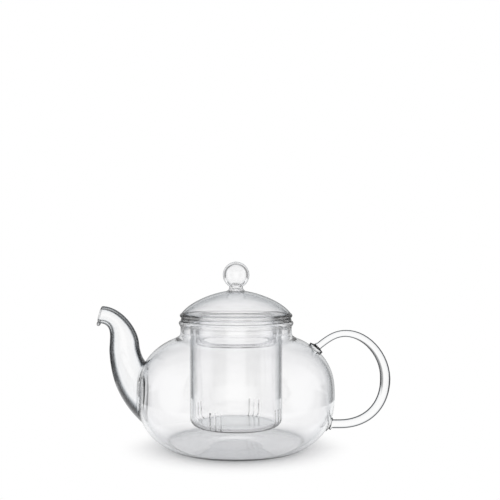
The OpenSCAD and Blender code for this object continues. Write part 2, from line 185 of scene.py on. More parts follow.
class LidSizes(bpy.types.PropertyGroup):
    """Sizes of the lid and its knob"""
    rim_r: length("Rim radius", "Outer radius of the rim", highest("lid_dome", X))
    rim_z: length("Rim height", "Height of the underside of the rim", lowest("lid_dome", Z))
    dome_h: length("Dome height", "Rise of the full dome curve", mm(21.8))
    squareness: number("Squareness", "Squareness of the dome curve", 1.6)
    wall: length("Wall", "Thickness of the wall", mm(2))
    rim_t: length("Rim thickness", "Thickness of the rolled rim", mm(3.2))
    skirt_r: length("Skirt radius", "Outer radius of the skirt", highest("lid_skirt", X))
    skirt_h: length("Skirt depth", "Depth of the skirt", mm(22))
    skirt_round: length("Skirt rounding", "Rounding of its lower edge", mm(4))
    skirt_edge_w: length("Skirt edge", "Width of the edge that it turns in to", mm(1.2))
    knob_r: length("Knob radius", "Radius of the ball", highest("lid_knob", X))
    neck_r: length("Knob neck", "Radius of the pinched neck under the ball", mm(5.4))
    neck_h: length("Knob neck height", "Height of the pinched neck", mm(3.8))
    foot_r: length("Knob foot", "Foot that the neck spreads into", mm(8))
    knob_wall: length("Knob wall", "Wall of the ball", mm(2))
    bore_r: length("Knob bore", "Radius of the bore between ball and dome", mm(3.2))


class GlassLook(bpy.types.PropertyGroup):
    """Look of the glass"""
    ior: number("Index of refraction", "Index of refraction of borosilicate glass", 1.473)
    tint: colour("Tint", "Colour of the glass, white for clear glass", "FFFFFF")


class StageLook(bpy.types.PropertyGroup):
    """Camera and light"""
    distance: length("Camera distance", "Camera in front of the pot's axis", mm(713))
    height: length("Camera height", "Camera above the floor", mm(162))
    floor_r: length("Floor radius", "Radius of the card that the pot stands on", mm(240))
    floor_colour: colour("Floor colour", "Colour of the card near the pot", "F8F8F8")
    focal_length: number("Focal length", "Focal length in millimetres", 64.15)
    shift_x: number("Shift X", "Sideways shift of the camera's frame", 0.0278)
    shift_y: number("Shift Y", "Upward shift of the camera's frame", -0.0136)


# ---- Curves, as lists of (radius or X, height) ----

def rounded_point(a, b, n, turn):
    """Point of a superellipse of half sizes a and b, at a turn from its widest point."""
    height = b * abs(sin(turn)) ** (2 / n)
    return Vector((a * max(0, cos(turn)) ** (2 / n), height if turn >= 0 else -height))


def rounded_line(a, b, n, start, end, steps):
    return [rounded_point(a, b, n, start + (end - start) * i / steps) for i in range(steps + 1)]


def turn_at_height(b, n, height):
    turn = asin((abs(height) / b) ** (n / 2))
    return turn if height >= 0 else -turn


def turn_at_width(a, n, width):
    return acos((width / a) ** (n / 2))


def height_at(a, b, n, width):
    return b * (1 - (width / a) ** n) ** (1 / n)


def arc(centre, radius, start, end, steps):
    """Points along an arc, whose ends are given in degrees."""
    turns = [radians(start + (end - start) * i / steps) for i in range(steps + 1)]
    return [Vector((centre[0] + radius * cos(t), centre[1] + radius * sin(t))) for t in turns]


def bezier(p, q, r, s, t):
    return p * (1 - t) ** 3 + q * (3 * (1 - t) ** 2 * t) + r * (3 * (1 - t) * t ** 2) + s * t ** 3


def bezier_line(p, q, r, s, steps):
    return [bezier(p, q, r, s, i / steps) for i in range(steps + 1)]


def heading(turn):
    return Vector((cos(turn), sin(turn)))


def mix(a, b, t):
    return a + (b - a) * t


def moved(points, step):
    return [p + Vector(step) for p in points]


# ---- Modelling, as by hand ----

# Steps of a full turn, and corners round a swept section
TURN_STEPS = 160
SPOUT_CORNERS = 56
ROD_CORNERS = 32
# Size of a primitive before it is shaped
SEED = mm(1)
# Points that lie nearer than this are one point
MERGE = mm(0.002)
# Edges that turn more than this stay sharp
CREASE = radians(40)


def select_only(piece):
    bpy.ops.object.select_all(action="DESELECT")
    bpy.context.view_layer.objects.active = piece
    piece.select_set(True)


def turned(name, outline, steps=TURN_STEPS):
    """A piece turned about the Z axis from its outline, which starts and ends on the axis."""
    start = outline[0]
    bpy.ops.object.select_all(action="DESELECT")
    bpy.ops.mesh.primitive_plane_add(size=SEED, location=(start[0], 0, start[1]))
    bpy.ops.object.mode_set(mode="EDIT")
    bpy.ops.mesh.select_mode(type="VERT")
    bpy.ops.mesh.merge(type="CENTER")
    for here, there in zip(outline, outline[1:]):
        step = (there[0] - here[0], 0, there[1] - here[1])
        bpy.ops.mesh.extrude_vertices_move(TRANSFORM_OT_translate={"value": step})
    bpy.ops.mesh.select_all(action="SELECT")
    bpy.ops.mesh.spin(steps=steps, angle=tau, center=(0, 0, 0), axis=(0, 0, 1))
    return closed(name)


def closed(name):
    """Merges the doubles, turns the faces outwards and puts the piece's place into its mesh."""
    bpy.ops.mesh.select_all(action="SELECT")
    bpy.ops.mesh.remove_doubles(threshold=MERGE)
    bpy.ops.mesh.normals_make_consistent(inside=False)
    bpy.ops.object.mode_set(mode="OBJECT")
    bpy.ops.object.transform_apply(location=True, rotation=True, scale=True)
    piece = bpy.context.object
    piece.name = name
    piece.data.name = name
    return piece


def turn_about_y(turn, centre):
    bpy.ops.transform.rotate(value=-turn, orient_axis="Y", orient_type="GLOBAL",
                             center_override=centre)


def reshape_ring(here, there):
    """Moves the selected ring from one section to the next.

    A section is (middle, turn about Y, half width in the XZ plane, half width across it).
    """
    centre = (here[0][0], 0, here[0][1])
    turn_about_y(-here[1], centre)
    bpy.ops.transform.resize(value=(there[2] / here[2], there[3] / here[3], 1),
                             center_override=centre)
    turn_about_y(there[1], centre)
    step = there[0] - here[0]
    bpy.ops.transform.translate(value=(step[0], 0, step[1]))


def lofted(name, sections, corners, hollow):
    """A tube through sections: a solid one with flat ends, or one whose last ring meets its first."""
    middle = sections[0][0]
    bpy.ops.object.select_all(action="DESELECT")
    bpy.ops.mesh.primitive_circle_add(vertices=corners, radius=SEED,
                                      location=(middle[0], 0, middle[1]))
    bpy.ops.object.mode_set(mode="EDIT")
    bpy.ops.mesh.select_mode(type="EDGE")
    reshape_ring((middle, 0, SEED, SEED), sections[0])
    for here, there in zip(sections, sections[1:]):
        bpy.ops.mesh.extrude_edges_move()
        reshape_ring(here, there)
    bpy.ops.mesh.select_all(action="DESELECT")
    bpy.ops.mesh.select_non_manifold()
    if hollow:
        bpy.ops.mesh.bridge_edge_loops()
    else:
        bpy.ops.mesh.fill_holes(sides=corners)
    return closed(name)


def combined(piece, tool, how):
    """Melts a tool into a piece, or cuts it out of the piece, and removes the tool."""
    select_only(piece)
    bpy.ops.object.modifier_add(type="BOOLEAN")
    boolean = piece.modifiers[-1]
    boolean.operation = how
    boolean.solver = "EXACT"
    boolean.object = tool
    bpy.ops.object.modifier_apply(modifier=boolean.name)
    bpy.data.objects.remove(tool)
    return piece


# ---- The pot ----

# Steps along the belly's curve and along the pushed-up base
BELLY_STEPS = 44
PUNT_STEPS = 10
# Pull of the curve that rounds the edge of the base, and of the one that flares up into the
# neck, as a share of their radius
CORNER_PULL = 0.55
FLARE_PULL = 0.6
# Where the outer rounding of the lip starts, in degrees up from level
LIP_UNDERSIDE = -35


def belly_height(s):
    """Height of the widest line of the belly."""
    return height_at(s.body_r, s.belly_half_h, s.squareness, s.base_r)


def wall_x(s, z):
    """Outer radius of the bowl at a height."""
    rise = abs(z - belly_height(s)) / s.belly_half_h
    return s.body_r * (1 - rise ** s.squareness) ** (1 / s.squareness)


def wall_turn(s, z):
    """The way the wall faces at a height, up from level."""
    rise = z - belly_height(s)
    power = s.squareness - 1
    up = (abs(rise) / s.belly_half_h) ** power / s.belly_half_h
    out = (wall_x(s, z) / s.body_r) ** power / s.body_r
    return atan2(up if rise > 0 else -up, out)


def belly_line(s, depth, from_z, neck_r):
    """Belly curve that lies a depth inside the outer one, and the flare up into the neck."""
    a = s.body_r - depth
    b = s.belly_half_h - depth
    belly_z = belly_height(s)
    line = moved(rounded_line(a, b, s.squareness,
                              turn_at_height(b, s.squareness, from_z - belly_z),
                              turn_at_width(a, s.squareness, neck_r + s.sweep), BELLY_STEPS),
                 (0, belly_z))
    lean = (line[-1] - line[-2]).normalized()
    waist = Vector((neck_r, line[-1][1] + s.sweep))
    pull = s.sweep * FLARE_PULL
    flare = bezier_line(line[-1], line[-1] + lean * pull, waist - Vector((0, pull)), waist,
                        steps=9)
    return line + flare[1:]


def punt_line(s, z):
    """Pushed-up middle of the base, from the axis out to the ring that the pot stands on."""
    return bezier_line(Vector((0, z + s.punt_h)), Vector((s.punt_r / 3, z + s.punt_h)),
                       Vector((s.punt_r * 2 / 3, z)), Vector((s.punt_r, z)), PUNT_STEPS)


def bowl_outline(s):
    """From the middle of the base up the outside, over the lip and down the inside."""
    r = s.base_round
    foot = Vector((wall_x(s, 0) - r, 0))
    heel = Vector((wall_x(s, r), r))
    edge = bezier_line(foot, foot + Vector((r * CORNER_PULL, 0)),
                       heel + heading(wall_turn(s, r) - pi / 2) * r * CORNER_PULL, heel,
                       steps=6)
    lip_r = s.neck_r + s.lip_flare
    bore_r = lip_r - s.lip_w
    out_round = s.lip_h / 2
    in_round = s.lip_h / 3
    top = s.lip_z
    lip = ([Vector((s.neck_r, top - s.lip_h - s.lip_flare))]
           + arc((lip_r - out_round, top - out_round), out_round, LIP_UNDERSIDE, 90, steps=9)
           + arc((bore_r + in_round, top - in_round), in_round, 90, 180, steps=6)
           + [Vector((bore_r, top - s.lip_h)),
              Vector((s.neck_r - s.neck_wall, top - s.lip_h - 2 * s.lip_flare))])
    inner = punt_line(s, s.floor_t) + belly_line(s, s.wall, s.floor_t, s.neck_r - s.neck_wall)
    return (punt_line(s, 0) + edge[:-1] + belly_line(s, 0, r, s.neck_r)
            + lip + list(reversed(inner)))


def bowl_stopper(s):
    """The bowl, filled, out to the middle of its wall."""
    half = s.wall / 2
    line = belly_line(s, half, half, s.neck_r - half)
    return turned("stopper", [Vector((0, half))] + line + [Vector((0, line[-1][1]))])


# Steps of each of the spout's two stretches
SPOUT_STEPS = 16
# How far the under line and the back line of each stretch run on before they turn:
# ((under, at its start and end), (back, at its start and end))
SPOUT_PULLS = (((mm(18), mm(32.5)), (mm(6.5), mm(6.6))),
               ((mm(11), mm(13.3)), (mm(13.2), mm(14.5))))
# The ways that the spout runs at its root, halfway up and at its mouth, up from level, and
# the lean of the halfway cut from upright
ROOT_WAY, RISER_WAY, MOUTH_WAY = radians(27), radians(86), radians(2)
RISER_LEAN = radians(73.5)
# Sections that the melted collar fades over
WELD_RUN = 9
# Steps over the rim of the mouth
RIM_STEPS = 8
# Height of the drip bead's section for its thickness
BEAD_TALL = 1.25


def spout_cuts(s, bowl):
    """(middle, lean of the cut, width in the plane, half width across, way it runs) at the
    root, halfway up and at the mouth, with the middle given outward from the axis."""
    belly_z = belly_height(bowl)
    return ((Vector((bowl.body_r - s.root_depth, belly_z - s.root_below)), 0,
             s.root_h, s.root_w / 2, ROOT_WAY),
            (Vector((bowl.body_r + s.riser_out, belly_z + s.riser_up)), RISER_LEAN,
             s.riser_w, s.riser_w / 2, RISER_WAY),
            (Vector((bowl.body_r + s.reach, bowl.lip_z + s.mouth_up)), s.mouth_lean,
             s.mouth_d, s.mouth_d / 2, MOUTH_WAY))


def spout_line(start, end, side, pull, t):
    """Point of the under line (side -1) or the back line (side 1) between two cuts."""
    p, q = (cut[0] + heading(pi / 2 + cut[1]) * side * cut[2] / 2 for cut in (start, end))
    return bezier(p, p + heading(start[4]) * pull[0], q - heading(end[4]) * pull[1], q, t)


def spout_sections(s, bowl):
    cuts = spout_cuts(s, bowl)
    sections = []
    for start, end, pulls in zip(cuts, cuts[1:], SPOUT_PULLS):
        for i in range(1 if sections else 0, SPOUT_STEPS + 1):
            t = i / SPOUT_STEPS
            under = spout_line(start, end, -1, pulls[0], t)
            back = spout_line(start, end, 1, pulls[1], t)
            across = back - under
            middle = (back + under) / 2
            sections.append((Vector((-middle[0], middle[1])), atan2(-across[1], -across[0]),
                             across.length / 2, mix(start[3], end[3], t)))
    return sections


def inset(section, depth, step=(0, 0)):
    middle, turn, half, half_across = section
    return (middle + Vector(step), turn, half - depth, half_across - depth)


def spout_shell(s, bowl):
    """Outside of the spout from its root to its mouth, over the rim and back down the bore."""
    sections = spout_sections(s, bowl)
    outside = []
    for i, section in enumerate(sections):
        fade = max(0, 1 - i / WELD_RUN)
        outside.append(inset(section, -s.weld_out * fade * fade))
    half = s.wall / 2
    way = Vector((-cos(MOUTH_WAY), sin(MOUTH_WAY)))
    rim = []
    for i in range(1, RIM_STEPS):
        turn = pi * i / RIM_STEPS
        rim.append(inset(sections[-1], half - half * cos(turn), way * half * sin(turn)))
    inside = [inset(section, s.wall) for section in reversed(sections)]
    return lofted("spout", outside + rim + inside, SPOUT_CORNERS, hollow=True)


def drip_bead(s, bowl):
    """Bead of glass rolled under the lower lip of the mouth, which a last drop falls from."""
    mouth = spout_cuts(s, bowl)[-1]
    low = mouth[0] - heading(pi / 2 + mouth[1]) * (mouth[2] / 2 + s.bead_drop)
    bpy.ops.object.select_all(action="DESELECT")
    bpy.ops.mesh.primitive_uv_sphere_add(segments=40, ring_count=24, radius=1,
                                         location=(-low[0], 0, low[1]),
                                         rotation=(0, mouth[1], 0),
                                         scale=(s.bead_r, s.bead_w / 2, s.bead_r * BEAD_TALL))
    bead = bpy.context.object
    bead.name = "bead"
    bpy.ops.object.transform_apply(location=True, rotation=True, scale=True)
    return bead


# Steps of the rod's four stretches
ROD_STEPS = (14, 14, 18, 3)
# A pull of 0.5523 of the radius turns a quarter circle, and a longer one a squarer bend
ROUND_PULL, SQUARE_PULL = 0.5523, 0.6
# How far the rod turns over outside the middle of the loop
TOP_SHIFT = mm(4.7)
# Pulls with which the rod leaves the shoulder and comes to its top
RISE_PULL, CREST_PULL = mm(13), mm(10)
# How far the rod's ends run inside the bowl's outer face
ROOT_SINK = mm(3)
# Share of a stretch, to each side of a point, that gives the way the rod runs there
NEARBY = 0.01
# How far a foot runs into the wall
PAD_SINK = mm(1.6)
# Where the rounded edge of a foot starts and ends, in degrees up from level
PAD_EDGE = (-40, 75)
# Pull of the throat that draws in from a foot to the rod, as a share of its width or height
THROAT_PULL = 0.7
# The foot's throat ends just inside the rod, at this share of its radius
PAD_GRIP = 0.9


def handle_ends(s, bowl):
    root_z = bowl.lip_z - s.root_drop
    return (Vector((wall_x(bowl, root_z), root_z)), Vector((wall_x(bowl, s.low_z), s.low_z)))


def handle_stations(s, bowl):
    """[place, way it runs, pull before, pull after, thickness] from the shoulder to the heel."""
    shoulder, heel = handle_ends(s, bowl)
    top_z = bowl.lip_z - s.top_drop
    out_x = s.out_x - s.grip_d / 2
    loop_r = (top_z - s.low_z) / 2
    loop_x = out_x - loop_r
    rounded, squared = loop_r * ROUND_PULL, loop_r * SQUARE_PULL
    return [
        [shoulder - heading(s.rise) * ROOT_SINK, s.rise, 0, RISE_PULL, s.top_d],
        [Vector((loop_x + TOP_SHIFT, top_z)), 0, CREST_PULL, rounded - TOP_SHIFT, s.top_d],
        [Vector((out_x, (top_z + s.low_z) / 2)), -pi / 2, rounded, squared, s.grip_d],
        [Vector((loop_x, s.low_z)), -pi, squared, ROOT_SINK, s.low_d],
        [heel - Vector((ROOT_SINK, 0)), -pi, ROOT_SINK, 0, s.low_d],
    ]


def rod_sections(s, bowl):
    stations = handle_stations(s, bowl)
    sections = []
    for start, end, steps in zip(stations, stations[1:], ROD_STEPS):
        p, q = start[0], end[0]
        first = p + heading(start[1]) * start[3]
        second = q - heading(end[1]) * end[2]
        for i in range(1 if sections else 0, steps + 1):
            t = i / steps
            way = (bezier(p, first, second, q, min(1, t + NEARBY))
                   - bezier(p, first, second, q, max(0, t - NEARBY)))
            half = mix(start[4], end[4], t) / 2
            sections.append((bezier(p, first, second, q, t),
                             atan2(-way[0], -way[1]), half, half))
    return sections


def melted_pad(s, bowl, place, rod_d):
    """Foot of melted glass round one end of the rod: it sags out of the rod onto the wall."""
    r = s.pad_d / 2
    rod_r = rod_d / 2
    neck = Vector((rod_r * PAD_GRIP, s.pad_h + s.pad_throat))
    foot = arc((r - s.pad_h / 2, s.pad_h / 2), s.pad_h / 2, *PAD_EDGE, steps=8)
    inward = heading(radians(PAD_EDGE[1] + 90))
    throat = bezier_line(foot[-1], foot[-1] + inward * (r - rod_r) * THROAT_PULL,
                         neck - Vector((0, s.pad_throat * THROAT_PULL)), neck, steps=10)
    outline = ([Vector((0, -PAD_SINK)), Vector((r - s.pad_h / 3, -PAD_SINK))]
               + foot + throat[1:] + [Vector((0, neck[1]))])
    pad = turned("pad", outline, steps=64)
    lean = pi / 2 - wall_turn(bowl, place[1])
    select_only(pad)
    bpy.ops.transform.rotate(value=-lean, orient_axis="Y", center_override=(0, 0, 0))
    bpy.ops.transform.translate(value=(place[0], 0, place[1]))
    bpy.ops.object.transform_apply(location=True, rotation=True, scale=True)
    return pad


def smoothed(piece):
    """Shades the piece softly, apart from its creases."""
    select_only(piece)
    bpy.ops.object.shade_smooth_by_angle(angle=CREASE)
    bpy.ops.object.modifier_add(type="WEIGHTED_NORMAL")
    weighted = piece.modifiers[-1]
    weighted.keep_sharp = True
    bpy.ops.object.modifier_apply(modifier=weighted.name)


# Places of the pot's three glasses in its list of materials; the second one's painted black edge
# lines also paint a dark line on the edge of the base
BLOWN, BLACK_EDGED, DRAWN = 0, 1, 2


def painted(piece, materials, which):
    """Gives the piece these materials, and all its faces one of them."""
    piece.data.materials.clear()
    for material in materials:
        piece.data.materials.append(material)
    for face in piece.data.polygons:
        face.material_index = which
    return piece


def base_edge_shade_painted(pot, s, which):
    """Gives the pressed edge of the base another of the materials, whose painted shade draws a dark
    line round the foot in place of the dark that the thick glass of the real foot shows.
    """
    foot_r = wall_x(s, 0) - s.base_round
    for face in pot.data.polygons:
        if face.center.z < s.floor_t and face.center.xy.length > foot_r:
            face.material_index = which


class BuildPot(bpy.types.Operator):
    """Blow the bowl, melt the spout and the handle onto it"""
    bl_idname = "teapot.pot"
    bl_label = "Pot"

    def execute(self, context):
        bowl = context.scene.teapot_bowl
        spout = context.scene.teapot_spout
        handle = context.scene.teapot_handle
        look = context.scene.teapot_glass
        glass = (blown_glass(look), worked_glass(look), rod_glass(look))
        pot = painted(turned("pot_glass", bowl_outline(bowl)), glass, BLOWN)
        # Painted shade: the edge of the base gets the black-edged glass, for a dark line round the foot
        base_edge_shade_painted(pot, bowl, BLACK_EDGED)
        bpy.ops.object.select_all(action="DESELECT")
        bpy.ops.mesh.primitive_cylinder_add(vertices=64, radius=spout.hole_d / 2,
                                            depth=2 * spout.root_depth,
                                            location=(-bowl.body_r, 0, belly_height(bowl)),
                                            rotation=(0, pi / 2, 0))
        combined(pot, context.object, "DIFFERENCE")
        tube = combined(spout_shell(spout, bowl), bowl_stopper(bowl), "DIFFERENCE")
        combined(tube, drip_bead(spout, bowl), "UNION")
        rod = lofted("rod", rod_sections(handle, bowl), ROD_CORNERS, hollow=False)
        for place, thick in zip(handle_ends(handle, bowl), (handle.top_d, handle.low_d)):
            combined(rod, melted_pad(handle, bowl, place, thick), "UNION")
        combined(rod, bowl_stopper(bowl), "DIFFERENCE")
        painted(tube, glass, BLACK_EDGED)
        painted(rod, glass, DRAWN)
        combined(pot, tube, "UNION")
        combined(pot, rod, "UNION")
        smoothed(pot)
        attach(pot, "pot")
        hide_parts("pot_bowl", "pot_neck", "pot_spout", "spout_weld", "pot_handle",
                    "handle_upper_weld", "handle_lower_weld")
        return {"FINISHED"}


# ---- The infuser ----

# Rounding of the lower edge of the flange
FLANGE_EDGE = mm(0.8)
# Share of the cup's rounded corner that the slits run through
SLIT_WRAP = 0.75
# How far the blades stand out of the glass that they cut
SAW_CLEAR = mm(1)


def infuser_outline(s):
    """From the middle of the bottom up the outside, round the flange and down the inside."""
    r, in_r = s.cup_r, s.cup_r - s.wall
    in_round = s.rounding - s.wall
    top_edge = s.flange_t / 2
    under_z = s.seat_z - s.flange_t + SEAT_AIR
    return ([Vector((0, s.low_z))]
            + arc((r - s.rounding, s.low_z + s.rounding), s.rounding, -90, 0, steps=12)
            + arc((r + s.sweep, under_z - s.sweep), s.sweep, 180, 90, steps=8)
            + arc((s.flange_r - FLANGE_EDGE, under_z + FLANGE_EDGE), FLANGE_EDGE, -90, 0,
                  steps=5)
            + arc((s.flange_r - top_edge, s.seat_z - top_edge), top_edge, 0, 90, steps=8)
            + arc((in_r + top_edge, s.seat_z - top_edge), top_edge, 90, 180, steps=8)
            + arc((in_r - in_round, s.low_z + s.floor_t + in_round), in_round, 0, -90,
                  steps=12)
            + [Vector((0, s.low_z + s.floor_t))])


def slit_saw(s):
    """One blade for each slit, which cuts the side and the rounded corner of the cup."""
    wrap = s.rounding * SLIT_WRAP
    reach, tall = wrap + SAW_CLEAR, s.slit_h + SAW_CLEAR
    bpy.ops.object.select_all(action="DESELECT")
    bpy.ops.mesh.primitive_cube_add(
        size=1, location=(s.cup_r - wrap + reach / 2, 0, s.low_z - SAW_CLEAR + tall / 2),
        scale=(reach, s.slit_w, tall))
    blade = bpy.context.object
    bpy.ops.object.transform_apply(location=True, rotation=True, scale=True)
    blades = [blade]
    for group in range(s.slit_groups):
        for i in range(s.slits):
            turn = (s.slit_turn + tau * group / s.slit_groups
                    + (i - (s.slits - 1) / 2) * s.slit_pitch / s.cup_r)
            copy = blade.copy()
            copy.data = blade.data.copy()
            bpy.context.collection.objects.link(copy)
            copy.rotation_euler[Z] = turn
            blades.append(copy)
    bpy.data.objects.remove(blades.pop(0))
    bpy.ops.object.select_all(action="DESELECT")
    for copy in blades:
        copy.select_set(True)
    bpy.context.view_layer.objects.active = blades[0]
    bpy.ops.object.join()
    bpy.ops.object.transform_apply(location=True, rotation=True, scale=True)
    return bpy.context.object


class BuildInfuser(bpy.types.Operator):
    """Turn the infuser cup with its flange and saw its slits"""
    bl_idname = "teapot.infuser"
    bl_label = "Infuser"

    def execute(self, context):
        sizes = context.scene.teapot_infuser
        infuser = turned("infuser_glass", infuser_outline(sizes))
        combined(infuser, slit_saw(sizes), "DIFFERENCE")
        smoothed(infuser)
        infuser.data.materials.append(turned_glass(context.scene.teapot_glass))
        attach(infuser, "infuser")
        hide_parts("infuser_cup", "infuser_flange")
        return {"FINISHED"}


# ---- The lid ----

# The knob's neck spreads into its foot: how far along, and how far above the dome, it turns
FOOT_SPREAD = 0.4
FOOT_LIFT = mm(0.4)
# Height at which the rolled rim meets the dome, for the rim's thickness
RIM_JOIN = 1.1
# Roundings where the skirt meets the rim outside and the dome inside
SKIRT_FILLET = mm(1.6)
INNER_FILLET = mm(1.4)


def lid_outline(s):
    """From the top of the ball down the outside, round the rim and the skirt and back up the
    inside and the bore to the top of the ball's hollow."""
    crown_h = height_at(s.rim_r, s.dome_h, s.squareness, s.foot_r)
    pinch_turn = acos(s.neck_r / s.knob_r)
    pinch_h = crown_h + s.neck_h
    ball = (0, pinch_h + s.knob_r * sin(pinch_turn))
    knob = (arc(ball, s.knob_r, 90, -pinch_turn * 180 / pi, steps=30)
            + bezier_line(Vector((s.neck_r, pinch_h)),
                          Vector((s.neck_r, mix(crown_h, pinch_h, FOOT_SPREAD))),
                          Vector((mix(s.neck_r, s.foot_r, FOOT_SPREAD), crown_h + FOOT_LIFT)),
                          Vector((s.foot_r, crown_h)), steps=8)[1:])
    join = turn_at_height(s.dome_h, s.squareness, s.rim_t * RIM_JOIN)
    dome = rounded_line(s.rim_r, s.dome_h, s.squareness,
                        turn_at_width(s.rim_r, s.squareness, s.foot_r), join, steps=30)[1:]
    roll = s.rim_t / 2
    rim = arc((s.rim_r - roll, roll), roll, 40, -90, steps=12)
    corner = (s.skirt_r - s.skirt_round, s.skirt_round - s.skirt_h)
    edge = s.wall / 2
    skirt = (arc((s.skirt_r + SKIRT_FILLET, -SKIRT_FILLET), SKIRT_FILLET, 90, 180, steps=6)
             + arc(corner, s.skirt_round, 0, -90, steps=12)
             + arc((corner[0] - s.skirt_edge_w, edge - s.skirt_h), edge, 270, 90, steps=10)
             + arc(corner, s.skirt_round - s.wall, -90, 0, steps=8))
    in_a = s.rim_r - s.rim_t + s.wall / 3
    in_b = s.dome_h - s.wall
    in_start = turn_at_height(in_b, s.squareness, s.wall)
    inner = rounded_line(in_a, in_b, s.squareness, in_start,
                         turn_at_width(in_a, s.squareness, s.bore_r), steps=30)
    skirt_in = s.skirt_r - s.wall
    in_r = s.knob_r - s.knob_wall
    bore = ([Vector((s.bore_r, mix(crown_h, ball[1], 0.5)))]
            + arc(ball, in_r, -acos(s.bore_r / in_r) * 180 / pi, 90, steps=26))
    outline = (knob + dome + rim + skirt + [Vector((skirt_in, s.wall - INNER_FILLET))]
               + [Vector((skirt_in + INNER_FILLET, s.wall))] + inner + bore)
    return moved(outline, (0, s.rim_z + SEAT_AIR))


class BuildLid(bpy.types.Operator):
    """Turn the lid with its skirt and its hollow knob"""
    bl_idname = "teapot.lid"
    bl_label = "Lid"

    def execute(self, context):
        lid = turned("lid_glass", lid_outline(context.scene.teapot_lid))
        smoothed(lid)
        lid.data.materials.append(turned_glass(context.scene.teapot_glass))
        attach(lid, "lid")
        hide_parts("lid_dome", "lid_skirt", "lid_knob")
        return {"FINISHED"}


# ---- Materials ----

def add_node(tree, kind, values=None, links=None, **settings):
    """Adds a node to a tree, with its settings, input values and links."""
    node = tree.nodes.new(kind)
    for name, value in settings.items():
        setattr(node, name, value)
    for key, value in (values or {}).items():
        node.inputs[key].default_value = value
    for key, socket in (links or {}).items():
        tree.links.new(socket, node.inputs[key])
    return node


# Finer waves that the glass carries on its long ones, as octaves of noise
WAVE_DETAIL = 1.5


def tinted(look, shade):
    """A step of the glass's painted edge shade, coloured by the tint."""
    return [part * tint for part, tint in zip(linear(shade), look.tint)]


def clear_glass_with_painted_shade(name, look, stops, wave, ripple):
    """Clear borosilicate glass, with painted shade that darkens its walls as they turn edge on,
    in place of the dark surroundings that real glass bends into its outline.

    The stops give the painted shade of the glass from seen flat on, 0, to seen edge on, 1, and the
    same shade dims the light that shadow rays let through. The wave is the length of the soft
    unevenness in its surface, and the ripple is its height.
    """
    if name in bpy.data.materials:
        return bpy.data.materials[name]
    material = bpy.data.materials.new(name)
    material.use_nodes = True
    tree = material.node_tree
    tree.nodes.clear()
    # Painted shade: the facing drives a ramp that darkens the glass's colour towards its outline
    facing = add_node(tree, "ShaderNodeLayerWeight", {"Blend": 0.5})
    tint = add_node(tree, "ShaderNodeValToRGB", None, {0: facing.outputs["Facing"]})
    ramp = tint.color_ramp
    ends = [ramp.elements[0], ramp.elements[1]]
    for element, (share, shade) in zip(ends, (stops[0], stops[-1])):
        element.position = share
        element.color = tinted(look, shade)
    for share, shade in stops[1:-1]:
        ramp.elements.new(share).color = tinted(look, shade)
    place = add_node(tree, "ShaderNodeTexCoord")
    noise = add_node(tree, "ShaderNodeTexNoise", {"Scale": 1 / wave, "Detail": WAVE_DETAIL},
                     {"Vector": place.outputs["Object"]})
    bump = add_node(tree, "ShaderNodeBump", {"Strength": 1, "Distance": ripple},
                    {"Height": noise.outputs["Fac"]})
    glass = add_node(tree, "ShaderNodeBsdfPrincipled",
                     {"Roughness": 0, "IOR": look.ior, "Transmission Weight": 1},
                     {"Base Color": tint.outputs[0], "Normal": bump.outputs[0]})
    path = add_node(tree, "ShaderNodeLightPath")
    # The painted shade also colours what shadow rays let through, so edge-on walls cast darker shadows
    clear = add_node(tree, "ShaderNodeBsdfTransparent", None, {"Color": tint.outputs[0]})
    both = add_node(tree, "ShaderNodeMixShader", None,
                    {0: path.outputs["Is Shadow Ray"], 1: glass.outputs[0],
                     2: clear.outputs[0]})
    add_node(tree, "ShaderNodeOutputMaterial", None, {"Surface": both.outputs[0]})
    return material


def blown_glass(look):
    """Thin walls blown in a mould: almost unseen flat on, and turned grey towards the outline by
    painted shade, with the long soft waves of a blown bubble."""
    return clear_glass_with_painted_shade("Blown borosilicate glass, painted edge shade", look,
                       ((0, "FFFFFF"), (0.5, "FCFCFD"), (0.68, "F1F2F4"), (0.8, "DADDE0"),
                        (0.9, "AEB3B7"), (1, "6A7074")),
                       mm(32), mm(0.04))


def worked_glass(look):
    """Tube and edges shaped in a flame: painted shade draws black lines along both sides, in place of
    the dark of the room that the thick glass gathers there, with small waves where it was melted."""
    return clear_glass_with_painted_shade("Flame-worked and pressed glass, painted black edges", look,
                       ((0, "FFFFFF"), (0.32, "F8F9FA"), (0.41, "BABEC2"), (0.5, "3A3F43"),
                        (0.6, "0C0D0E"), (0.8, "16181A"), (0.93, "60666A"), (1, "A0A5A9")),
                       mm(14), mm(0.05))


def rod_glass(look):
    """Solid rod, drawn and bent in a flame: a bright middle between two black lines of painted shade."""
    return clear_glass_with_painted_shade("Drawn borosilicate rod, painted black edges", look,
                       ((0, "FFFFFF"), (0.22, "F4F5F6"), (0.3, "C4C8CB"), (0.37, "50565A"),
                        (0.43, "060708"), (0.85, "060708"), (1, "3A3F43")),
                       mm(18), mm(0.03))


def turned_glass(look):
    """Tube spun and pressed on a lathe: the clearest of the walls, with a fine dark line of painted
    shade only at the very edge."""
    return clear_glass_with_painted_shade("Lathe-worked borosilicate glass, painted edge line", look,
                       ((0, "FFFFFF"), (0.5, "FBFBFC"), (0.66, "E4E6E8"), (0.78, "AEB3B7"),
                        (0.88, "50565A"), (1, "2C3236")),
                       mm(26), mm(0.03))


# ---- Stage ----

# Distances from the pot's axis over which a painted white glow takes over the card and fades out
# its shadow, and the share of that glow nearer than that
CARD_FADE = (mm(52), mm(95))
CARD_NEAR = 0.15
# Light that falls on the card from all round, where 1 is white
ROOM_LIGHT = 0.95
# The dark flags that gloss and glass show: how many stand round the pot, the soft edge of
# each (-1 is its middle and 1 is halfway to the next), and how bright it is
FLAGS = 4
FLAG_EDGE = (-0.5, 0.2)
FLAG_SHADE = 0.35
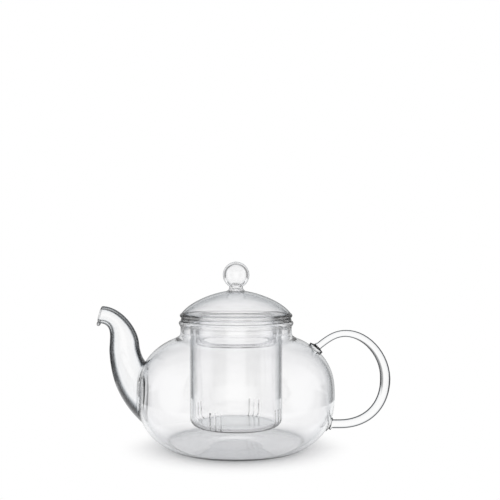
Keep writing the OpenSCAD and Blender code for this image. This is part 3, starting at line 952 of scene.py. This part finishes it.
# Heights between which the flags end at the bottom, and between which the ceiling darkens, as
# the upward part of the way seen, and how bright the ceiling is
FLAG_FOOT = (-0.26, -0.14)
CEILING_EDGE = (0.35, 0.7)
CEILING_SHADE = 0.5
# How much of the room a reflection shows
MIRROR_SHADE = 0.4
# Softbox above and behind the pot: its place, its tilt towards the pot, its width and its power
LAMP_PLACE = (0, 0.5, 1.2)
LAMP_TILT = radians(-22)
LAMP_WIDTH = 1.2
LAMP_POWER = 5
# Film width in millimetres, and the nearest thing that the camera draws
FILM_WIDTH = 36
NEAREST = 0.01
# How often light passes or mirrors before it is lost: it crosses many walls here
GLASS_BOUNCES = 32
MIRROR_BOUNCES = 16


def sees_background(tree):
    """1 for rays from the camera, and for those that gloss or glass sends on."""
    path = add_node(tree, "ShaderNodeLightPath")
    either = add_node(tree, "ShaderNodeMath", None,
                      {0: path.outputs["Is Camera Ray"], 1: path.outputs["Is Glossy Ray"]},
                      operation="MAXIMUM")
    return add_node(tree, "ShaderNodeMath", None,
                    {0: either.outputs[0], 1: path.outputs["Is Transmission Ray"]},
                    operation="MAXIMUM").outputs[0]


def white_floor(look):
    """Matt white card: near the pot it takes its soft shadow, and further out a painted white glow,
    seen by the camera, gloss and glass, fades the shadow out to plain white.
    """
    material = bpy.data.materials.new("Matt white card")
    material.use_nodes = True
    tree = material.node_tree
    tree.nodes.clear()
    place = add_node(tree, "ShaderNodeTexCoord")
    away = add_node(tree, "ShaderNodeVectorMath", None, {0: place.outputs["Object"]},
                    operation="LENGTH")
    # Painted glow: its share grows away from the pot, so that the shadow fades out
    glow_share = add_node(tree, "ShaderNodeMapRange",
                          {"From Min": CARD_FADE[0], "From Max": CARD_FADE[1],
                           "To Min": CARD_NEAR, "To Max": 1},
                          {"Value": away.outputs["Value"]}, interpolation_type="SMOOTHSTEP")
    matt = add_node(tree, "ShaderNodeBsdfDiffuse", {"Color": look.floor_colour})
    glow = add_node(tree, "ShaderNodeEmission", {"Color": linear("FFFFFF"), "Strength": 1})
    share = add_node(tree, "ShaderNodeMath", None,
                     {0: sees_background(tree), 1: glow_share.outputs[0]},
                     operation="MULTIPLY")
    both = add_node(tree, "ShaderNodeMixShader", None,
                    {0: share.outputs[0], 1: matt.outputs[0], 2: glow.outputs[0]})
    add_node(tree, "ShaderNodeOutputMaterial", None, {"Surface": both.outputs[0]})
    return material


def studio_world(scene):
    """White round the pot at eye level, with dark flags at the four corners and overhead."""
    world = bpy.data.worlds.new("Studio")
    scene.world = world
    world.use_nodes = True
    tree = world.node_tree
    tree.nodes.clear()
    way = add_node(tree, "ShaderNodeTexCoord")
    split = add_node(tree, "ShaderNodeSeparateXYZ", None, {0: way.outputs["Generated"]})
    round_turn = add_node(tree, "ShaderNodeMath", None,
                          {0: split.outputs["Y"], 1: split.outputs["X"]}, operation="ARCTAN2")
    repeated = add_node(tree, "ShaderNodeMath", {1: FLAGS}, {0: round_turn.outputs[0]},
                        operation="MULTIPLY")
    wave = add_node(tree, "ShaderNodeMath", None, {0: repeated.outputs[0]},
                    operation="COSINE")
    flags = add_node(tree, "ShaderNodeMapRange",
                     {"From Min": FLAG_EDGE[0], "From Max": FLAG_EDGE[1],
                      "To Min": FLAG_SHADE, "To Max": 1},
                     {"Value": wave.outputs[0]}, interpolation_type="SMOOTHSTEP")
    ceiling = add_node(tree, "ShaderNodeMapRange",
                       {"From Min": CEILING_EDGE[0], "From Max": CEILING_EDGE[1],
                        "To Min": 1, "To Max": CEILING_SHADE},
                       {"Value": split.outputs["Z"]}, interpolation_type="SMOOTHSTEP")
    below = add_node(tree, "ShaderNodeMapRange",
                     {"From Min": FLAG_FOOT[0], "From Max": FLAG_FOOT[1],
                      "To Min": 1, "To Max": 0},
                     {"Value": split.outputs["Z"]}, interpolation_type="SMOOTHSTEP")
    level = add_node(tree, "ShaderNodeMath", None,
                     {0: flags.outputs[0], 1: below.outputs[0]}, operation="MAXIMUM")
    dark = add_node(tree, "ShaderNodeMath", None,
                    {0: level.outputs[0], 1: ceiling.outputs[0]}, operation="MULTIPLY")
    path = add_node(tree, "ShaderNodeLightPath")
    bounced = add_node(tree, "ShaderNodeMath", None,
                       {0: path.outputs["Is Glossy Ray"],
                        1: path.outputs["Is Transmission Ray"]}, operation="SUBTRACT")
    room = add_node(tree, "ShaderNodeMapRange", {"To Min": 1, "To Max": MIRROR_SHADE},
                    {"Value": bounced.outputs[0]})
    mirrored = add_node(tree, "ShaderNodeMath", None, {0: dark.outputs[0], 1: room.outputs[0]},
                        operation="MULTIPLY")
    seen_strength = add_node(tree, "ShaderNodeMath", None,
                             {0: mirrored.outputs[0], 1: path.outputs["Is Camera Ray"]},
                             operation="MAXIMUM")
    plain = add_node(tree, "ShaderNodeBackground",
                     {"Color": linear("FFFFFF"), "Strength": ROOM_LIGHT})
    seen = add_node(tree, "ShaderNodeBackground", {"Color": linear("FFFFFF")},
                    {"Strength": seen_strength.outputs[0]})
    both = add_node(tree, "ShaderNodeMixShader", None,
                    {0: sees_background(tree), 1: plain.outputs[0], 2: seen.outputs[0]})
    add_node(tree, "ShaderNodeOutputWorld", None, {"Surface": both.outputs[0]})


class BuildStage(bpy.types.Operator):
    """Set up the white floor, the soft light and the camera"""
    bl_idname = "teapot.stage"
    bl_label = "Stage"

    def execute(self, context):
        scene = context.scene
        look = scene.teapot_stage
        bpy.ops.object.select_all(action="DESELECT")
        bpy.ops.mesh.primitive_circle_add(vertices=64, radius=look.floor_r, fill_type="NGON",
                                          location=(0, 0, -SEAT_AIR))
        floor = context.object
        floor.name = "floor"
        floor.data.materials.append(white_floor(look))
        studio_world(scene)
        bpy.ops.object.light_add(type="AREA", location=LAMP_PLACE, rotation=(LAMP_TILT, 0, 0))
        lamp = context.object
        lamp.name = "softbox"
        lamp.data.shape = "DISK"
        lamp.data.size = LAMP_WIDTH
        lamp.data.energy = LAMP_POWER
        lamp.visible_glossy = False
        lamp.visible_transmission = False
        bpy.ops.object.camera_add(location=(0, -look.distance, look.height),
                                  rotation=(pi / 2, 0, 0))
        camera = context.object
        camera.name = "camera"
        camera.data.lens = look.focal_length
        camera.data.sensor_width = FILM_WIDTH
        camera.data.shift_x = look.shift_x
        camera.data.shift_y = look.shift_y
        camera.data.clip_start = NEAREST
        scene.camera = camera
        scene.view_settings.view_transform = "Standard"
        scene.cycles.max_bounces = GLASS_BOUNCES
        scene.cycles.transmission_bounces = GLASS_BOUNCES
        scene.cycles.glossy_bounces = MIRROR_BOUNCES
        return {"FINISHED"}


# ---- The add-on ----

SETTINGS = {
    "teapot_bowl": BowlSizes,
    "teapot_spout": SpoutSizes,
    "teapot_handle": HandleSizes,
    "teapot_infuser": InfuserSizes,
    "teapot_lid": LidSizes,
    "teapot_glass": GlassLook,
    "teapot_stage": StageLook,
}
OPERATORS = (BuildPot, BuildInfuser, BuildLid, BuildStage)


class TeapotPanel(bpy.types.Panel):
    """Buttons that build the teapot, and its sizes"""
    bl_idname = "VIEW3D_PT_teapot"
    bl_label = "Teapot"
    bl_space_type = "VIEW_3D"
    bl_region_type = "UI"
    bl_category = "Teapot"

    def draw(self, context):
        for operator in OPERATORS:
            self.layout.operator(operator.bl_idname)
        for setting in SETTINGS:
            group = getattr(context.scene, setting)
            box = self.layout.box()
            for name in group.bl_rna.properties.keys():
                if name not in ("rna_type", "name"):
                    box.prop(group, name)


CLASSES = (*SETTINGS.values(), *OPERATORS, TeapotPanel)


def register():
    for item in CLASSES:
        bpy.utils.register_class(item)
    for name, group in SETTINGS.items():
        setattr(bpy.types.Scene, name, bpy.props.PointerProperty(type=group))


def unregister():
    for name in SETTINGS:
        delattr(bpy.types.Scene, name)
    for item in reversed(CLASSES):
        bpy.utils.unregister_class(item)


def main():
    register()
    bpy.ops.teapot.pot()
    bpy.ops.teapot.infuser()
    bpy.ops.teapot.lid()
    bpy.ops.teapot.stage()


if __name__ == "__main__":
    main()
